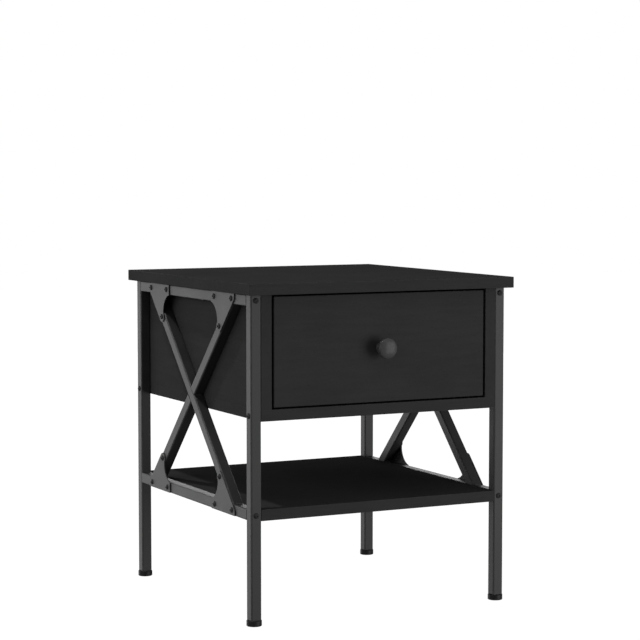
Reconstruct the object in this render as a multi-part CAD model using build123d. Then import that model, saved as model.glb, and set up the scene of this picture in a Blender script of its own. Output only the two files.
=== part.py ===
from build123d import *
import math
import os

os.makedirs("parts", exist_ok=True)

# Side table: coated boards on a frame of square steel tube, cross-braced at both sides,
# with a low shelf and a cabinet whose one drawer runs on roller runners.
# Millimetres. +X is the table's right, the drawer opens towards -Y, +Z is up, the floor is Z = 0.

# ---------------------------------------------------------------- driving dimensions
# Whole table
top_width = 400.0
top_depth = 420.0
table_height = 450.0
board = 15.0               # thickness of the top, shelf, cabinet boards and drawer front
board_round = 0.8          # rounding of the top's and the drawer front's edge banding

# Steel frame
tube = 15.0                # outer size of the square tube
tube_wall = 1.2
tube_corner = 2.0          # outer corner radius of the tube
side_overhang = 7.5        # top beyond the legs at each side
front_overhang = 12.5
back_overhang = 15.0
shelf_underside = 139.0    # height of the underside of the shelf and of its rails
plug_length = 12.0         # threaded plug in each rail end
plug_spare = 2.0           # plug beyond the end of its screw
foot_height = 8.0
foot_radius = 10.2
foot_round = 2.0
foot_stem = 18.0           # part of the glide inside the leg
push_play = 0.1            # gap round a pushed-in stem

# Cross braces and their corner plates
brace_setback = 51.25      # leg to where a brace's centre line meets a rail
plate = 1.5                # thickness of a corner plate
plate_length = 74.5        # along the rail
plate_past_brace = 17.5    # plate beyond the brace's centre line, towards the leg
plate_margin = 9.5         # plate end to its nearest screw
plate_inset = 0.5          # plate edge inside the rail's outer edge
plate_curve = 25.0         # radius of the plate's hollowed edge
tip_distance = 44.5        # rail to the plate's third screw, along the brace

# Button-head screws with a hexagon socket
screw_radius = 2.0
screw_play = 0.1           # radial clearance in every screw hole
head_radius = 3.8
head_height = 2.2
head_edge_share = 0.3      # straight edge of a head, as a share of its height
socket_width = 2.5         # across flats
socket_depth = 1.3
socket_share = 0.6         # deepest socket in a low head, as a share of its height
wood_grip = 25.0           # screw in the edge of a board
face_grip = 10.0           # screw in the face of a board
sheet_screw = 8.0          # length of a screw in a tube wall

# Shelf tabs, welded under the shelf rails
tab_width = 26.0
tab_reach = 17.0           # under the shelf
tab_thickness = 2.0
tab_spread = 110.0         # from the middle of the side frame to each tab
tab_on_rail = 10.0

# Dowels
dowel_radius = 4.0
dowel_play = 0.05
dowel_in_face = 10.0
dowel_in_edge = 20.0
dowel_inset = 60.0         # from the front and back edges
edge_screw_inset = 30.0    # upward screws in the cabinet sides, from the same edges
top_screw_spread = 30.0    # screws up through the top rails, from the middle

# Cabinet and drawer front
cabinet_height = 165.5     # underside of the top to underside of the cabinet
back_panel = 3.0
back_inset = 12.0          # back panel in front of the boards' back edges
groove_depth = 5.0
groove_play = 0.2
drawer_side_gap = 3.5
drawer_top_gap = 3.0
drawer_bottom_gap = 2.5

# Drawer box
box_board = 12.0
box_clear_below = 13.0     # cabinet floor to the drawer box
box_clear_above = 25.5     # drawer box to the underside of the top
bottom_panel = 3.0
bottom_raise = 8.0         # drawer bottom above the lower edge of the drawer sides
peg_radius = 3.0
peg_in_front = 10.0
peg_in_side = 16.0
peg_inset = 22.0           # from the upper and lower edges of a drawer side
box_screw_grip = 18.0

# Roller runners
runner_room = 12.5         # between a cabinet side and the drawer box
runner_sheet = 1.2
runner_step = 50.0         # runners are sold in steps of this length
runner_setback = 2.0       # cabinet runner behind the drawer front
roller_radius = 7.0
roller_width = 6.8
roller_gap = 0.3           # roller to the track it runs on
roller_side_play = 0.5
roller_inset = 14.0        # roller axle from the runner's end
pin_radius = 2.0
pin_play = 0.05
pin_stub = 1.5             # radius of the pin's end in the runner
pin_head_radius = 3.2
pin_head = 1.0
flange_cover = 8.3         # flange standing out from a runner's web
flange_clear = 0.5         # above the drawer flange
ledge = 10.0               # runner under the drawer side
low_head = 0.8             # flat screw heads inside the runners
low_head_radius = 3.2
runner_screw_grip = 9.0    # in a cabinet side
runner_screw_shares = (0.2, 0.5, 0.8)  # places of a runner's screws along it
groove_wall = 1.0          # wood left between a drawer runner's screw and the bottom's groove
travel_left_in = 100.0     # runner length still engaged with the drawer open
stop_height = 5.0
stop_gap = 0.4             # stop to roller with the drawer fully open

# Knob
knob_radius = 14.0
knob_reach = 22.5
knob_neck = 6.0
knob_base = 8.5
knob_thread = 12.0         # hole for the screw in the knob
knob_thread_spare = 1.0    # hole beyond the end of the screw
# Heights on the knob's outline as shares of its reach, and (radius, height) shares between them
knob_ring_top = 0.08
knob_cove = (0.48, 0.15)
knob_waist_from = 0.27
knob_waist_to = 0.38
knob_flare = (0.62, 0.53)
knob_widest_at = 0.71
knob_shoulder = (0.93, 0.865)
knob_face_edge = (0.71, 0.955)

# ---------------------------------------------------------------- derived places
# The origin is under the middle of the whole table, knob included.
knob_past_top = max(0.0, knob_reach - front_overhang)
top_front = (knob_past_top - top_depth) / 2
top_back = top_front + top_depth
frame_front = top_front + front_overhang
frame_back = top_back - back_overhang
frame_middle = (frame_front + frame_back) / 2
leg_outside = top_width / 2 - side_overhang
leg_inside = leg_outside - tube
leg_x = leg_outside - tube / 2
leg_ends = {"front": frame_front + tube / 2, "back": frame_back - tube / 2}
sides = {"left": -1, "right": 1}
ends = {"front": -1, "back": 1}
levels = {"top": 1, "bottom": -1}

under_top = table_height - board
top_rail_z = under_top - tube / 2
shelf_rail_z = shelf_underside + tube / 2
shelf_rail_top = shelf_underside + tube
rail_start = frame_front + tube
rail_length = frame_back - frame_front - 2 * tube
tube_bore = tube - 2 * tube_wall

brace_top = under_top - tube
brace_middle = (brace_top + shelf_rail_top) / 2
brace_reach = rail_length / 2 - brace_setback
brace_rise = brace_top - brace_middle
brace_half = math.hypot(brace_reach, brace_rise)
brace_stock = 4 * brace_half  # length a brace is cut from

cabinet_bottom_z = under_top - cabinet_height
cabinet_floor = cabinet_bottom_z + board
cabinet_inside = leg_inside - board
back_front_face = frame_back - back_inset - back_panel

drawer_back_face = frame_front + board
drawer_half = cabinet_inside - drawer_side_gap
drawer_low = cabinet_floor + drawer_bottom_gap
drawer_high = under_top - drawer_top_gap
knob_z = (drawer_low + drawer_high) / 2
box_outside = cabinet_inside - runner_room
box_inside = box_outside - box_board
box_low = cabinet_floor + box_clear_below
box_high = under_top - box_clear_above
bottom_low = box_low + bottom_raise
bottom_edge = box_inside + groove_depth

runner_space = back_front_face - drawer_back_face - runner_setback
runner_length = runner_step * math.floor(runner_space / runner_step)
box_end = drawer_back_face + runner_length
drawer_travel = runner_length - travel_left_in
track_z = box_low + runner_sheet + roller_gap
roller_z = track_z + roller_gap + roller_radius
flange_z = roller_z + roller_radius + roller_gap
runner_high = flange_z + runner_sheet + flange_clear
runner_start = drawer_back_face + runner_setback
front_axle = runner_start + roller_inset
back_axle = box_end - roller_inset
stop_y = back_axle - drawer_travel - roller_radius - stop_gap

nodes = {}


# ---------------------------------------------------------------- shapes used more than once
def block(x_range, y_range, z_range):
    """Box between two values on each axis, in either order."""
    low = [min(span) for span in (x_range, y_range, z_range)]
    size = [abs(span[1] - span[0]) for span in (x_range, y_range, z_range)]
    corner = (Align.MIN, Align.MIN, Align.MIN)
    return Pos(*low) * Box(*size, align=corner)


def rod(start, direction, radius, length):
    """Round bar or hole cutter from a point along a direction."""
    base = Plane(origin=start, z_dir=direction)
    return extrude(base * Circle(radius), length)


def square_tube(start, direction, length):
    """Square tube from a point along a direction, open at both ends."""
    base = Plane(origin=start, x_dir=(1, 0, 0), z_dir=direction)
    outer = RectangleRounded(tube, tube, tube_corner)
    bore = RectangleRounded(tube_bore, tube_bore, tube_corner - tube_wall)
    return extrude(base * (outer - bore), length)


def screw(seat, outward, length, radius=head_radius, height=head_height):
    """Button-head screw: its head sits on the seat and its shank points the other way."""
    edge = (radius, height * head_edge_share)
    rim = Polyline((0, height), (0, 0), (radius, 0), edge)
    dome = TangentArc((0, height), edge, tangent=(1, 0))
    head = revolve(Plane.XZ * make_face(rim + dome), Axis.Z)
    depth = min(socket_depth, height * socket_share)
    hexagon = RegularPolygon(socket_width / 2, 6, major_radius=False)
    socket = Pos(0, 0, height - depth) * extrude(hexagon, depth)
    shank = rod((0, 0, 0), (0, 0, -1), screw_radius, length)
    return Plane(origin=seat, z_dir=outward) * (head - socket + shank)


def screw_hole(seat, outward, length):
    """Clearance hole for a screw of this length with its head on the seat."""
    inward = tuple(-part for part in outward)
    return rod(seat, inward, screw_radius + screw_play, length)


def extruded(points, y_start, length):
    """Closed outline of (x, z) points carried along +Y."""
    outline = make_face(Polyline(*points, close=True))
    return Pos(0, y_start, 0) * extrude(Plane.XZ * outline, -length)


def to_corner(shape, side, end, level):
    """Carry a piece made for the right, back, top corner of the side frames to another corner."""
    if side < 0:
        shape = mirror(shape, about=Plane.YZ)
    if end < 0:
        shape = mirror(shape, about=Plane.XZ.offset(-frame_middle))
    if level < 0:
        shape = mirror(shape, about=Plane.XY.offset(brace_middle))
    return shape


def group(shapes):
    """Several separate solids in one node."""
    return Compound(children=[solid for shape in shapes for solid in shape.solids()])


# ---------------------------------------------------------------- where the screws go
leg_screw_spots = []
plug_spots = []
side_screw_spots = []
for side in sides.values():
    for end_name, end in ends.items():
        for height in (top_rail_z, shelf_rail_z):
            face_y = frame_front if end < 0 else frame_back
            leg_screw_spots.append(((side * leg_x, face_y, height), (0, end, 0)))
            plug_spots.append((side * leg_x, face_y - end * tube, height, end))
        seat = (side * leg_outside, leg_ends[end_name], cabinet_bottom_z + board / 2)
        side_screw_spots.append((seat, (side, 0, 0)))
leg_screw_length = tube + plug_length - plug_spare
side_screw_length = tube + wood_grip

top_screw_spots = [
    ((side * leg_x, frame_middle + end * top_screw_spread, brace_top), (0, 0, -1))
    for side in sides.values()
    for end in ends.values()
]
top_screw_length = tube + face_grip

side_board_x = cabinet_inside + board / 2
edge_screw_spots = [
    ((side * side_board_x, edge, cabinet_bottom_z), (0, 0, -1))
    for side in sides.values()
    for edge in (frame_front + edge_screw_inset, frame_back - edge_screw_inset)
]
edge_screw_length = board + wood_grip

tab_spots = [
    (side, frame_middle + end * tab_spread)
    for side in sides.values()
    for end in ends.values()
]
tab_screw_spots = [
    ((side * (leg_inside - tab_reach / 2), tab_y, shelf_underside - tab_thickness), (0, 0, -1))
    for side, tab_y in tab_spots
]
tab_screw_length = tab_thickness + face_grip

# Corner-plate screws, as (reach, rise) from the middle of the side frame
brace_unit = (brace_reach / brace_half, brace_rise / brace_half)
tip_along = brace_half - tip_distance
plate_outer = brace_reach + plate_past_brace
plate_inner = plate_outer - plate_length
tip_reach = tip_along * brace_unit[0]
tip_rise = tip_along * brace_unit[1]
rail_rise = brace_rise + tube / 2
plate_screws_at = [
    (plate_inner + plate_margin, rail_rise),
    (plate_outer - plate_margin, rail_rise),
    (tip_reach, tip_rise),
]


def plate_screw_spots(side):
    """Seats of the twelve corner-plate screws at one side, on the outer face of the plates."""
    spots = []
    for end in ends.values():
        for level in levels.values():
            for reach, rise in plate_screws_at:
                spot_y = frame_middle + end * reach
                spot_z = brace_middle + level * rise
                spots.append(((side * (leg_outside + plate), spot_y, spot_z), (side, 0, 0)))
    return spots


plate_holes = {
    side: [screw_hole(*spot, plate + 2 * tube_wall) for spot in plate_screw_spots(side)]
    for side in sides.values()
}

# ---------------------------------------------------------------- top
top_panel = block((-top_width / 2, top_width / 2), (top_front, top_back), (under_top, table_height))
top_panel = fillet(top_panel.edges(), board_round)
dowel_edges = (frame_front + dowel_inset, frame_back - dowel_inset)
dowel_hole = dowel_radius + dowel_play
for side in sides.values():
    for edge in dowel_edges:
        top_panel -= rod((side * side_board_x, edge, under_top), (0, 0, 1), dowel_hole, dowel_in_face)
for seat, outward in top_screw_spots:
    top_panel -= screw_hole(seat, outward, top_screw_length)
nodes["top_panel"] = top_panel

# ---------------------------------------------------------------- legs, rails and feet
leg_length = under_top - foot_height
for side_name, side in sides.items():
    for end_name, leg_y in leg_ends.items():
        leg = square_tube((side * leg_x, leg_y, foot_height), (0, 0, 1), leg_length)
        for seat, outward in leg_screw_spots:
            if abs(seat[0] - side * leg_x) < tube and abs(seat[1] - leg_y) < tube:
                leg -= screw_hole(seat, outward, tube)
        for seat, outward in side_screw_spots:
            if seat[0] * side > 0 and abs(seat[1] - leg_y) < tube:
                leg -= screw_hole(seat, outward, tube)
        nodes[f"leg_{end_name}_{side_name}"] = leg

        flange = rod((side * leg_x, leg_y, 0), (0, 0, 1), foot_radius, foot_height)
        flange = fillet(flange.edges().filter_by(GeomType.CIRCLE), foot_round)
        stem_size = tube_bore - 2 * push_play
        stem = extrude(RectangleRounded(stem_size, stem_size, tube_corner - tube_wall), foot_stem)
        nodes[f"foot_{end_name}_{side_name}"] = flange + Pos(side * leg_x, leg_y, foot_height) * stem

    for rail_name, rail_z in {"top": top_rail_z, "shelf": shelf_rail_z}.items():
        rail = square_tube((side * leg_x, rail_start, rail_z), (0, 1, 0), rail_length)
        for hole in plate_holes[side]:
            rail -= hole
        if rail_name == "top":
            for seat, outward in top_screw_spots:
                rail -= screw_hole(seat, outward, tube)
        nodes[f"{rail_name}_rail_{side_name}"] = rail

plugs = []
for plug_x, plug_y, plug_z, end in plug_spots:
    base = Plane(origin=(plug_x, plug_y, plug_z), x_dir=(1, 0, 0), z_dir=(0, -end, 0))
    section = RectangleRounded(tube_bore, tube_bore, tube_corner - tube_wall)
    section -= Circle(screw_radius + screw_play)
    plugs.append(extrude(base * section, plug_length))
nodes["rail_end_plugs"] = group(plugs)
leg_screws = [screw(*spot, leg_screw_length) for spot in leg_screw_spots]
top_screws = [screw(*spot, top_screw_length) for spot in top_screw_spots]
nodes["frame_screws"] = group(leg_screws + top_screws)

# ---------------------------------------------------------------- cross braces
brace_band = block((-top_width, top_width), (-top_depth, top_depth), (shelf_rail_top, brace_top))


def brace_start(side, slope):
    """Lower end of a brace's stock on its centre line, and the line's direction."""
    direction = (0, slope * brace_unit[0], brace_unit[1])
    middle = (side * leg_x, frame_middle, brace_middle)
    return tuple(middle[i] - direction[i] * brace_stock / 2 for i in range(3)), direction


for side_name, side in sides.items():
    long_start, long_direction = brace_start(side, 1)
    long_brace = square_tube(long_start, long_direction, brace_stock) & brace_band
    cross_start, cross_direction = brace_start(side, -1)
    cross_brace = square_tube(cross_start, cross_direction, brace_stock) & brace_band
    long_path = Plane(origin=long_start, x_dir=(1, 0, 0), z_dir=long_direction)
    cross_brace -= extrude(long_path * Rectangle(tube, tube), brace_stock)
    for hole in plate_holes[side]:
        long_brace -= hole
        cross_brace -= hole
    halves = sorted(cross_brace.solids(), key=lambda solid: solid.center().Z)
    nodes[f"brace_long_{side_name}"] = long_brace
    nodes[f"brace_lower_{side_name}"] = halves[0]
    nodes[f"brace_upper_{side_name}"] = halves[1]

# ---------------------------------------------------------------- corner plates
# Outline in the plane of the side frame, as (reach, rise) from its middle: a strip over the rail,
# a straight edge along the brace, a round tip, and a hollowed edge back to the rail.
across_brace = (brace_unit[1], -brace_unit[0])
tip_outer = (tip_reach + across_brace[0] * tube / 2, tip_rise + across_brace[1] * tube / 2)
tip_end = (tip_reach - brace_unit[0] * tube / 2, tip_rise - brace_unit[1] * tube / 2)
tip_inner = (tip_reach - across_brace[0] * tube / 2, tip_rise - across_brace[1] * tube / 2)
slope_along = (plate_outer - across_brace[0] * tube / 2) / brace_unit[0]
slope_corner = (plate_outer, slope_along * brace_unit[1] + across_brace[1] * tube / 2)
strip_top = brace_rise + tube - plate_inset
strip_inner = (plate_inner, brace_rise)
plate_outline = (
    Polyline(strip_inner, (plate_inner, strip_top), (plate_outer, strip_top), slope_corner, tip_outer)
    + ThreePointArc(tip_outer, tip_end, tip_inner)
    + RadiusArc(tip_inner, strip_inner, -plate_curve)
)
plate_face = Plane(origin=(leg_outside, frame_middle, brace_middle), x_dir=(0, 1, 0), z_dir=(1, 0, 0))
corner_plate = extrude(plate_face * make_face(plate_outline), plate)
for side_name, side in sides.items():
    for end_name, end in ends.items():
        for level_name, level in levels.items():
            piece = to_corner(corner_plate, side, end, level)
            for hole in plate_holes[side]:
                piece -= hole
            nodes[f"corner_plate_{level_name}_{end_name}_{side_name}"] = piece
plate_screws = [screw(*spot, sheet_screw) for side in sides.values() for spot in plate_screw_spots(side)]
nodes["corner_plate_screws"] = group(plate_screws)

# ---------------------------------------------------------------- shelf
shelf_span = (shelf_underside, shelf_underside + board)
shelf = block((-leg_inside, leg_inside), (frame_front, frame_back), shelf_span)
for seat, outward in tab_screw_spots:
    shelf -= screw_hole(seat, outward, tab_screw_length)
nodes["shelf_panel"] = shelf
tabs = []
for (side, tab_y), (seat, outward) in zip(tab_spots, tab_screw_spots):
    tab_x = (side * (leg_inside - tab_reach), side * (leg_inside + tab_on_rail))
    tab_along = (tab_y - tab_width / 2, tab_y + tab_width / 2)
    tab = block(tab_x, tab_along, (shelf_underside - tab_thickness, shelf_underside))
    tabs.append(tab - screw_hole(seat, outward, tab_thickness))
nodes["shelf_tabs"] = group(tabs)
nodes["shelf_tab_screws"] = group([screw(*spot, tab_screw_length) for spot in tab_screw_spots])

# ---------------------------------------------------------------- cabinet
bottom_span = (cabinet_bottom_z, cabinet_floor)
cabinet_bottom = block((-leg_inside, leg_inside), (frame_front, frame_back), bottom_span)
back_slot_y = (back_front_face - groove_play / 2, back_front_face + back_panel + groove_play / 2)
back_half = cabinet_inside + groove_depth
cabinet_bottom -= block((-back_half, back_half), back_slot_y, (cabinet_floor - groove_depth, cabinet_floor))
for seat, outward in side_screw_spots:
    cabinet_bottom -= screw_hole(seat, outward, side_screw_length)
for seat, outward in edge_screw_spots:
    cabinet_bottom -= screw_hole(seat, outward, board)
dowels = []
for side_name, side in sides.items():
    side_x = (side * cabinet_inside, side * leg_inside)
    groove_x = (side * cabinet_inside, side * back_half)
    side_board = block(side_x, (frame_front, frame_back), (cabinet_floor, under_top))
    side_board -= block(groove_x, back_slot_y, (cabinet_floor, under_top))
    for seat, outward in edge_screw_spots:
        side_board -= screw_hole(seat, outward, edge_screw_length)
    for edge in dowel_edges:
        upper = (side * side_board_x, edge, under_top - dowel_in_edge)
        lower = (side * side_board_x, edge, cabinet_floor - dowel_in_face)
        dowel_length = dowel_in_edge + dowel_in_face
        side_board -= rod(upper, (0, 0, 1), dowel_hole, dowel_in_edge)
        side_board -= rod(lower, (0, 0, 1), dowel_hole, dowel_length)
        cabinet_bottom -= rod(lower, (0, 0, 1), dowel_hole, dowel_in_face)
        dowels.append(rod(upper, (0, 0, 1), dowel_radius, dowel_length))
        dowels.append(rod(lower, (0, 0, 1), dowel_radius, dowel_length))
    nodes[f"cabinet_side_{side_name}"] = side_board
nodes["cabinet_bottom"] = cabinet_bottom
nodes["cabinet_back"] = block(
    (-back_half + groove_play, back_half - groove_play),
    (back_front_face, back_front_face + back_panel),
    (cabinet_floor - groove_depth, under_top),
)
nodes["cabinet_dowels"] = group(dowels)
cabinet_leg_screws = [screw(*spot, side_screw_length) for spot in side_screw_spots]
cabinet_edge_screws = [screw(*spot, edge_screw_length) for spot in edge_screw_spots]
nodes["cabinet_screws"] = group(cabinet_leg_screws + cabinet_edge_screws)

# ---------------------------------------------------------------- drawer box
knob_seat = (0, drawer_back_face, knob_z)
front_y = (frame_front, drawer_back_face)
drawer_front = block((-drawer_half, drawer_half), front_y, (drawer_low, drawer_high))
drawer_front = fillet(drawer_front.edges(), board_round)
slot_y = (drawer_back_face - groove_depth, drawer_back_face)
slot_z = (bottom_low, bottom_low + bottom_panel + groove_play)
drawer_front -= block((-bottom_edge, bottom_edge), slot_y, slot_z)
drawer_front -= screw_hole(knob_seat, (0, 1, 0), board)
peg_hole = peg_radius + dowel_play
pegs = []
box_screw_spots = []
for side_name, side in sides.items():
    box_y = (drawer_back_face, box_end)
    box_side = block((side * box_inside, side * box_outside), box_y, (box_low, box_high))
    box_side -= block((side * box_inside, side * bottom_edge), box_y, slot_z)
    for peg_z in (box_low + peg_inset, box_high - peg_inset):
        peg_x = side * (box_outside - box_board / 2)
        peg_start = (peg_x, drawer_back_face - peg_in_front, peg_z)
        peg_length = peg_in_front + peg_in_side
        drawer_front -= rod(peg_start, (0, 1, 0), peg_hole, peg_in_front)
        box_side -= rod(peg_start, (0, 1, 0), peg_hole, peg_length)
        pegs.append(rod(peg_start, (0, 1, 0), peg_radius, peg_length))
        seat = (side * box_outside, box_end - box_board / 2, peg_z + peg_inset / 2)
        box_screw_spots.append((seat, (side, 0, 0)))
        box_side -= screw_hole(*box_screw_spots[-1], box_board)
    nodes[f"drawer_side_{side_name}"] = box_side
nodes["drawer_front"] = drawer_front
nodes["drawer_bottom"] = block(
    (-bottom_edge + groove_play, bottom_edge - groove_play),
    (drawer_back_face - groove_depth, box_end),
    (bottom_low, bottom_low + bottom_panel),
)
box_back = block(
    (-box_inside, box_inside),
    (box_end - box_board, box_end),
    (bottom_low + bottom_panel, box_high),
)
box_screw_length = box_board + box_screw_grip
for seat, outward in box_screw_spots:
    box_back -= screw_hole(seat, outward, box_screw_length)
nodes["drawer_back"] = box_back
nodes["drawer_pegs"] = group(pegs)
nodes["drawer_back_screws"] = group([screw(*spot, box_screw_length) for spot in box_screw_spots])

# ---------------------------------------------------------------- knob
# Turned mushroom knob: a base ring, a waist, a flared underside, a full round rim and a
# slightly domed face.
def on_knob(radius_share, reach_share):
    """Point on the knob's outline, as (radius, distance from the drawer front)."""
    return (knob_radius * radius_share, knob_reach * reach_share)


knob_ring = (knob_base, knob_reach * knob_ring_top)
knob_waist_low = (knob_neck, knob_reach * knob_waist_from)
knob_waist_high = (knob_neck, knob_reach * knob_waist_to)
knob_widest = on_knob(1, knob_widest_at)
knob_outline = (
    Polyline((0, 0), (knob_base, 0), knob_ring)
    + ThreePointArc(knob_ring, on_knob(*knob_cove), knob_waist_low)
    + Line(knob_waist_low, knob_waist_high)
    + ThreePointArc(knob_waist_high, on_knob(*knob_flare), knob_widest)
    + ThreePointArc(knob_widest, on_knob(*knob_shoulder), on_knob(*knob_face_edge))
    + TangentArc((0, knob_reach), on_knob(*knob_face_edge), tangent=(1, 0))
    + Line((0, knob_reach), (0, 0))
)
knob_body = revolve(Plane.XZ * make_face(knob_outline), Axis.Z)
knob_body -= rod((0, 0, 0), (0, 0, 1), screw_radius + screw_play, knob_thread)
nodes["knob"] = Plane(origin=(0, frame_front, knob_z), z_dir=(0, -1, 0)) * knob_body
nodes["knob_screw"] = screw(knob_seat, (0, 1, 0), board + knob_thread - knob_thread_spare)

# ---------------------------------------------------------------- roller runners
# Positions across a runner are distances from the cabinet side's inner face.
drawer_web = runner_room - runner_sheet
cabinet_roller = (runner_sheet + roller_side_play, runner_sheet + roller_side_play + roller_width)
drawer_roller = (drawer_web - roller_side_play, drawer_web - roller_side_play - roller_width)
cabinet_screws = []
drawer_screws = []
cabinet_pins = []
drawer_pins = []


def across(side, distance):
    """X of a place this far in from the cabinet side's inner face."""
    return side * (cabinet_inside - distance)


def roller_pin(side, web_face, inward, roller_far, axle_y):
    """Shouldered pin: a stub in the runner's web, a shoulder through the roller, and a head."""
    out = (-side * inward, 0, 0)
    shoulder = abs(roller_far - web_face) + roller_side_play / 2
    web = (across(side, web_face), axle_y, roller_z)
    stub = rod(web, (side * inward, 0, 0), pin_stub, runner_sheet)
    shaft = rod(web, out, pin_radius, shoulder)
    head_seat = (across(side, web_face + inward * shoulder), axle_y, roller_z)
    return stub + shaft + rod(head_seat, out, pin_head_radius, pin_head)


for side_name, side in sides.items():
    # Cabinet runner: a channel with its open side towards the drawer
    cabinet_face = across(side, 0)
    cabinet_web = across(side, runner_sheet)
    lip = across(side, runner_sheet + flange_cover)
    channel = [
        (cabinet_face, track_z - runner_sheet),
        (lip, track_z - runner_sheet),
        (lip, track_z),
        (cabinet_web, track_z),
        (cabinet_web, runner_high),
        (lip, runner_high),
        (lip, runner_high + runner_sheet),
        (cabinet_face, runner_high + runner_sheet),
    ]
    cabinet_runner = extruded(channel, runner_start, runner_length - runner_setback)
    stop_x = (across(side, drawer_roller[1]), lip)
    stop_z = (track_z, track_z + stop_height)
    cabinet_runner += block(stop_x, (stop_y - runner_sheet, stop_y), stop_z)
    pin_seat = (cabinet_face, front_axle, roller_z)
    cabinet_runner -= rod(pin_seat, (-side, 0, 0), pin_stub + pin_play, runner_sheet)

    # Drawer runner: a ledge under the drawer side, a web beside it and a flange over the rollers
    box_face = across(side, runner_room)
    web_face = across(side, drawer_web)
    ledge_edge = across(side, runner_room + ledge)
    flange_edge = across(side, drawer_web - flange_cover - roller_side_play)
    angle = [
        (ledge_edge, box_low - runner_sheet),
        (web_face, box_low - runner_sheet),
        (web_face, flange_z),
        (flange_edge, flange_z),
        (flange_edge, flange_z + runner_sheet),
        (box_face, flange_z + runner_sheet),
        (box_face, box_low),
        (ledge_edge, box_low),
    ]
    drawer_runner = extruded(angle, drawer_back_face, runner_length)
    pin_seat = (box_face, back_axle, roller_z)
    drawer_runner -= rod(pin_seat, (side, 0, 0), pin_stub + pin_play, runner_sheet)

    for share in runner_screw_shares:
        inward = (-side, 0, 0)
        length = runner_sheet + runner_screw_grip
        seat = (cabinet_web, runner_start + runner_length * share, roller_z)
        cabinet_runner -= screw_hole(seat, inward, runner_sheet)
        nodes[f"cabinet_side_{side_name}"] -= screw_hole(seat, inward, length)
        cabinet_screws.append(screw(seat, inward, length, low_head_radius, low_head))

        outward = (side, 0, 0)
        length = runner_sheet + box_board - groove_depth - groove_wall
        seat = (web_face, drawer_back_face + runner_length * share, roller_z)
        drawer_runner -= screw_hole(seat, outward, runner_sheet)
        nodes[f"drawer_side_{side_name}"] -= screw_hole(seat, outward, length)
        drawer_screws.append(screw(seat, outward, length, low_head_radius, low_head))
    nodes[f"cabinet_runner_{side_name}"] = cabinet_runner
    nodes[f"drawer_runner_{side_name}"] = drawer_runner

    cabinet_pins.append(roller_pin(side, runner_sheet, 1, cabinet_roller[1], front_axle))
    drawer_pins.append(roller_pin(side, drawer_web, -1, drawer_roller[1], back_axle))
    rollers = {"front": (cabinet_roller, front_axle), "back": (drawer_roller, back_axle)}
    for roller_name, (span, axle_y) in rollers.items():
        tread_start = (min(across(side, edge) for edge in span), axle_y, roller_z)
        tread = rod(tread_start, (1, 0, 0), roller_radius, roller_width)
        bore = rod(tread_start, (1, 0, 0), pin_radius + pin_play, roller_width)
        nodes[f"roller_{roller_name}_{side_name}"] = tread - bore
nodes["cabinet_runner_screws"] = group(cabinet_screws)
nodes["drawer_runner_screws"] = group(drawer_screws)
nodes["cabinet_roller_pins"] = group(cabinet_pins)
nodes["drawer_roller_pins"] = group(drawer_pins)

# ---------------------------------------------------------------- one STEP file for each node
for name, shape in nodes.items():
    export_step(shape, f"parts/{name}.step")
print(len(nodes), "nodes; drawer travel", drawer_travel, "mm")
print("roller axles: y", front_axle, back_axle, " z", roller_z)
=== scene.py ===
import math

import bpy
import numpy as np
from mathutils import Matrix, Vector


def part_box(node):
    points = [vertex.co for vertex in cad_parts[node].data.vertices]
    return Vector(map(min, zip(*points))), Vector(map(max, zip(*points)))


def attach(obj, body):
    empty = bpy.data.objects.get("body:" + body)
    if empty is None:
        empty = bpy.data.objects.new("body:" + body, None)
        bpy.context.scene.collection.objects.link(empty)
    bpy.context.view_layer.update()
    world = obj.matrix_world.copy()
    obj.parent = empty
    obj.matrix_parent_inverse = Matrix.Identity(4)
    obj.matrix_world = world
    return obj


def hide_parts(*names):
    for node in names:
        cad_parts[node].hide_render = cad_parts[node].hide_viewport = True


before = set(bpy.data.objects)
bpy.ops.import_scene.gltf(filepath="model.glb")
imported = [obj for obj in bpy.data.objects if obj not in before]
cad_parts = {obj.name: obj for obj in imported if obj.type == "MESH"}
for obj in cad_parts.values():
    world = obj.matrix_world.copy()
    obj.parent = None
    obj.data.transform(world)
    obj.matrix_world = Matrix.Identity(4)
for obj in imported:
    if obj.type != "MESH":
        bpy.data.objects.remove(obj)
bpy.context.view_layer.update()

# ---------------------------------------------------------------- top board
# The top is 15 mm particle board faced with black melamine, banded on its four edges with
# 1 mm plastic tape. Screws up through the top rails hold it.


def add(tree, kind, values=(), **settings):
    """One shader node. Settings are its own properties; values fill its inputs, by name or
    number, with a plain value or with another node's output."""
    node = tree.nodes.new("ShaderNode" + kind)
    for name, value in settings.items():
        setattr(node, name, value)
    for place, value in dict(values).items():
        if isinstance(value, bpy.types.NodeSocket):
            tree.links.new(value, node.inputs[place])
        else:
            node.inputs[place].default_value = value
    return node


def calc(tree, operation, *terms, clamp=False):
    """What a Math node makes of its terms."""
    node = add(tree, "Math", enumerate(terms), operation=operation, use_clamp=clamp)
    return node.outputs[0]


def vector_calc(tree, operation, *terms):
    """What a Vector Math node makes of its terms."""
    return add(tree, "VectorMath", enumerate(terms), operation=operation).outputs[0]


def ramp(tree, value, start, end, low=0.0, high=1.0):
    """Value carried from start..end to low..high, smoothly and no further."""
    steps = {0: value, 1: start, 2: end, 3: low, 4: high}
    return add(tree, "MapRange", steps, interpolation_type="SMOOTHSTEP").outputs[0]


def noise(tree, place, scale, detail=2.0, roughness=0.5):
    """Cloudy noise with this many lumps to the metre."""
    values = {"Vector": place, "Scale": scale, "Detail": detail, "Roughness": roughness}
    return add(tree, "TexNoise", values).outputs[0]


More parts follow.
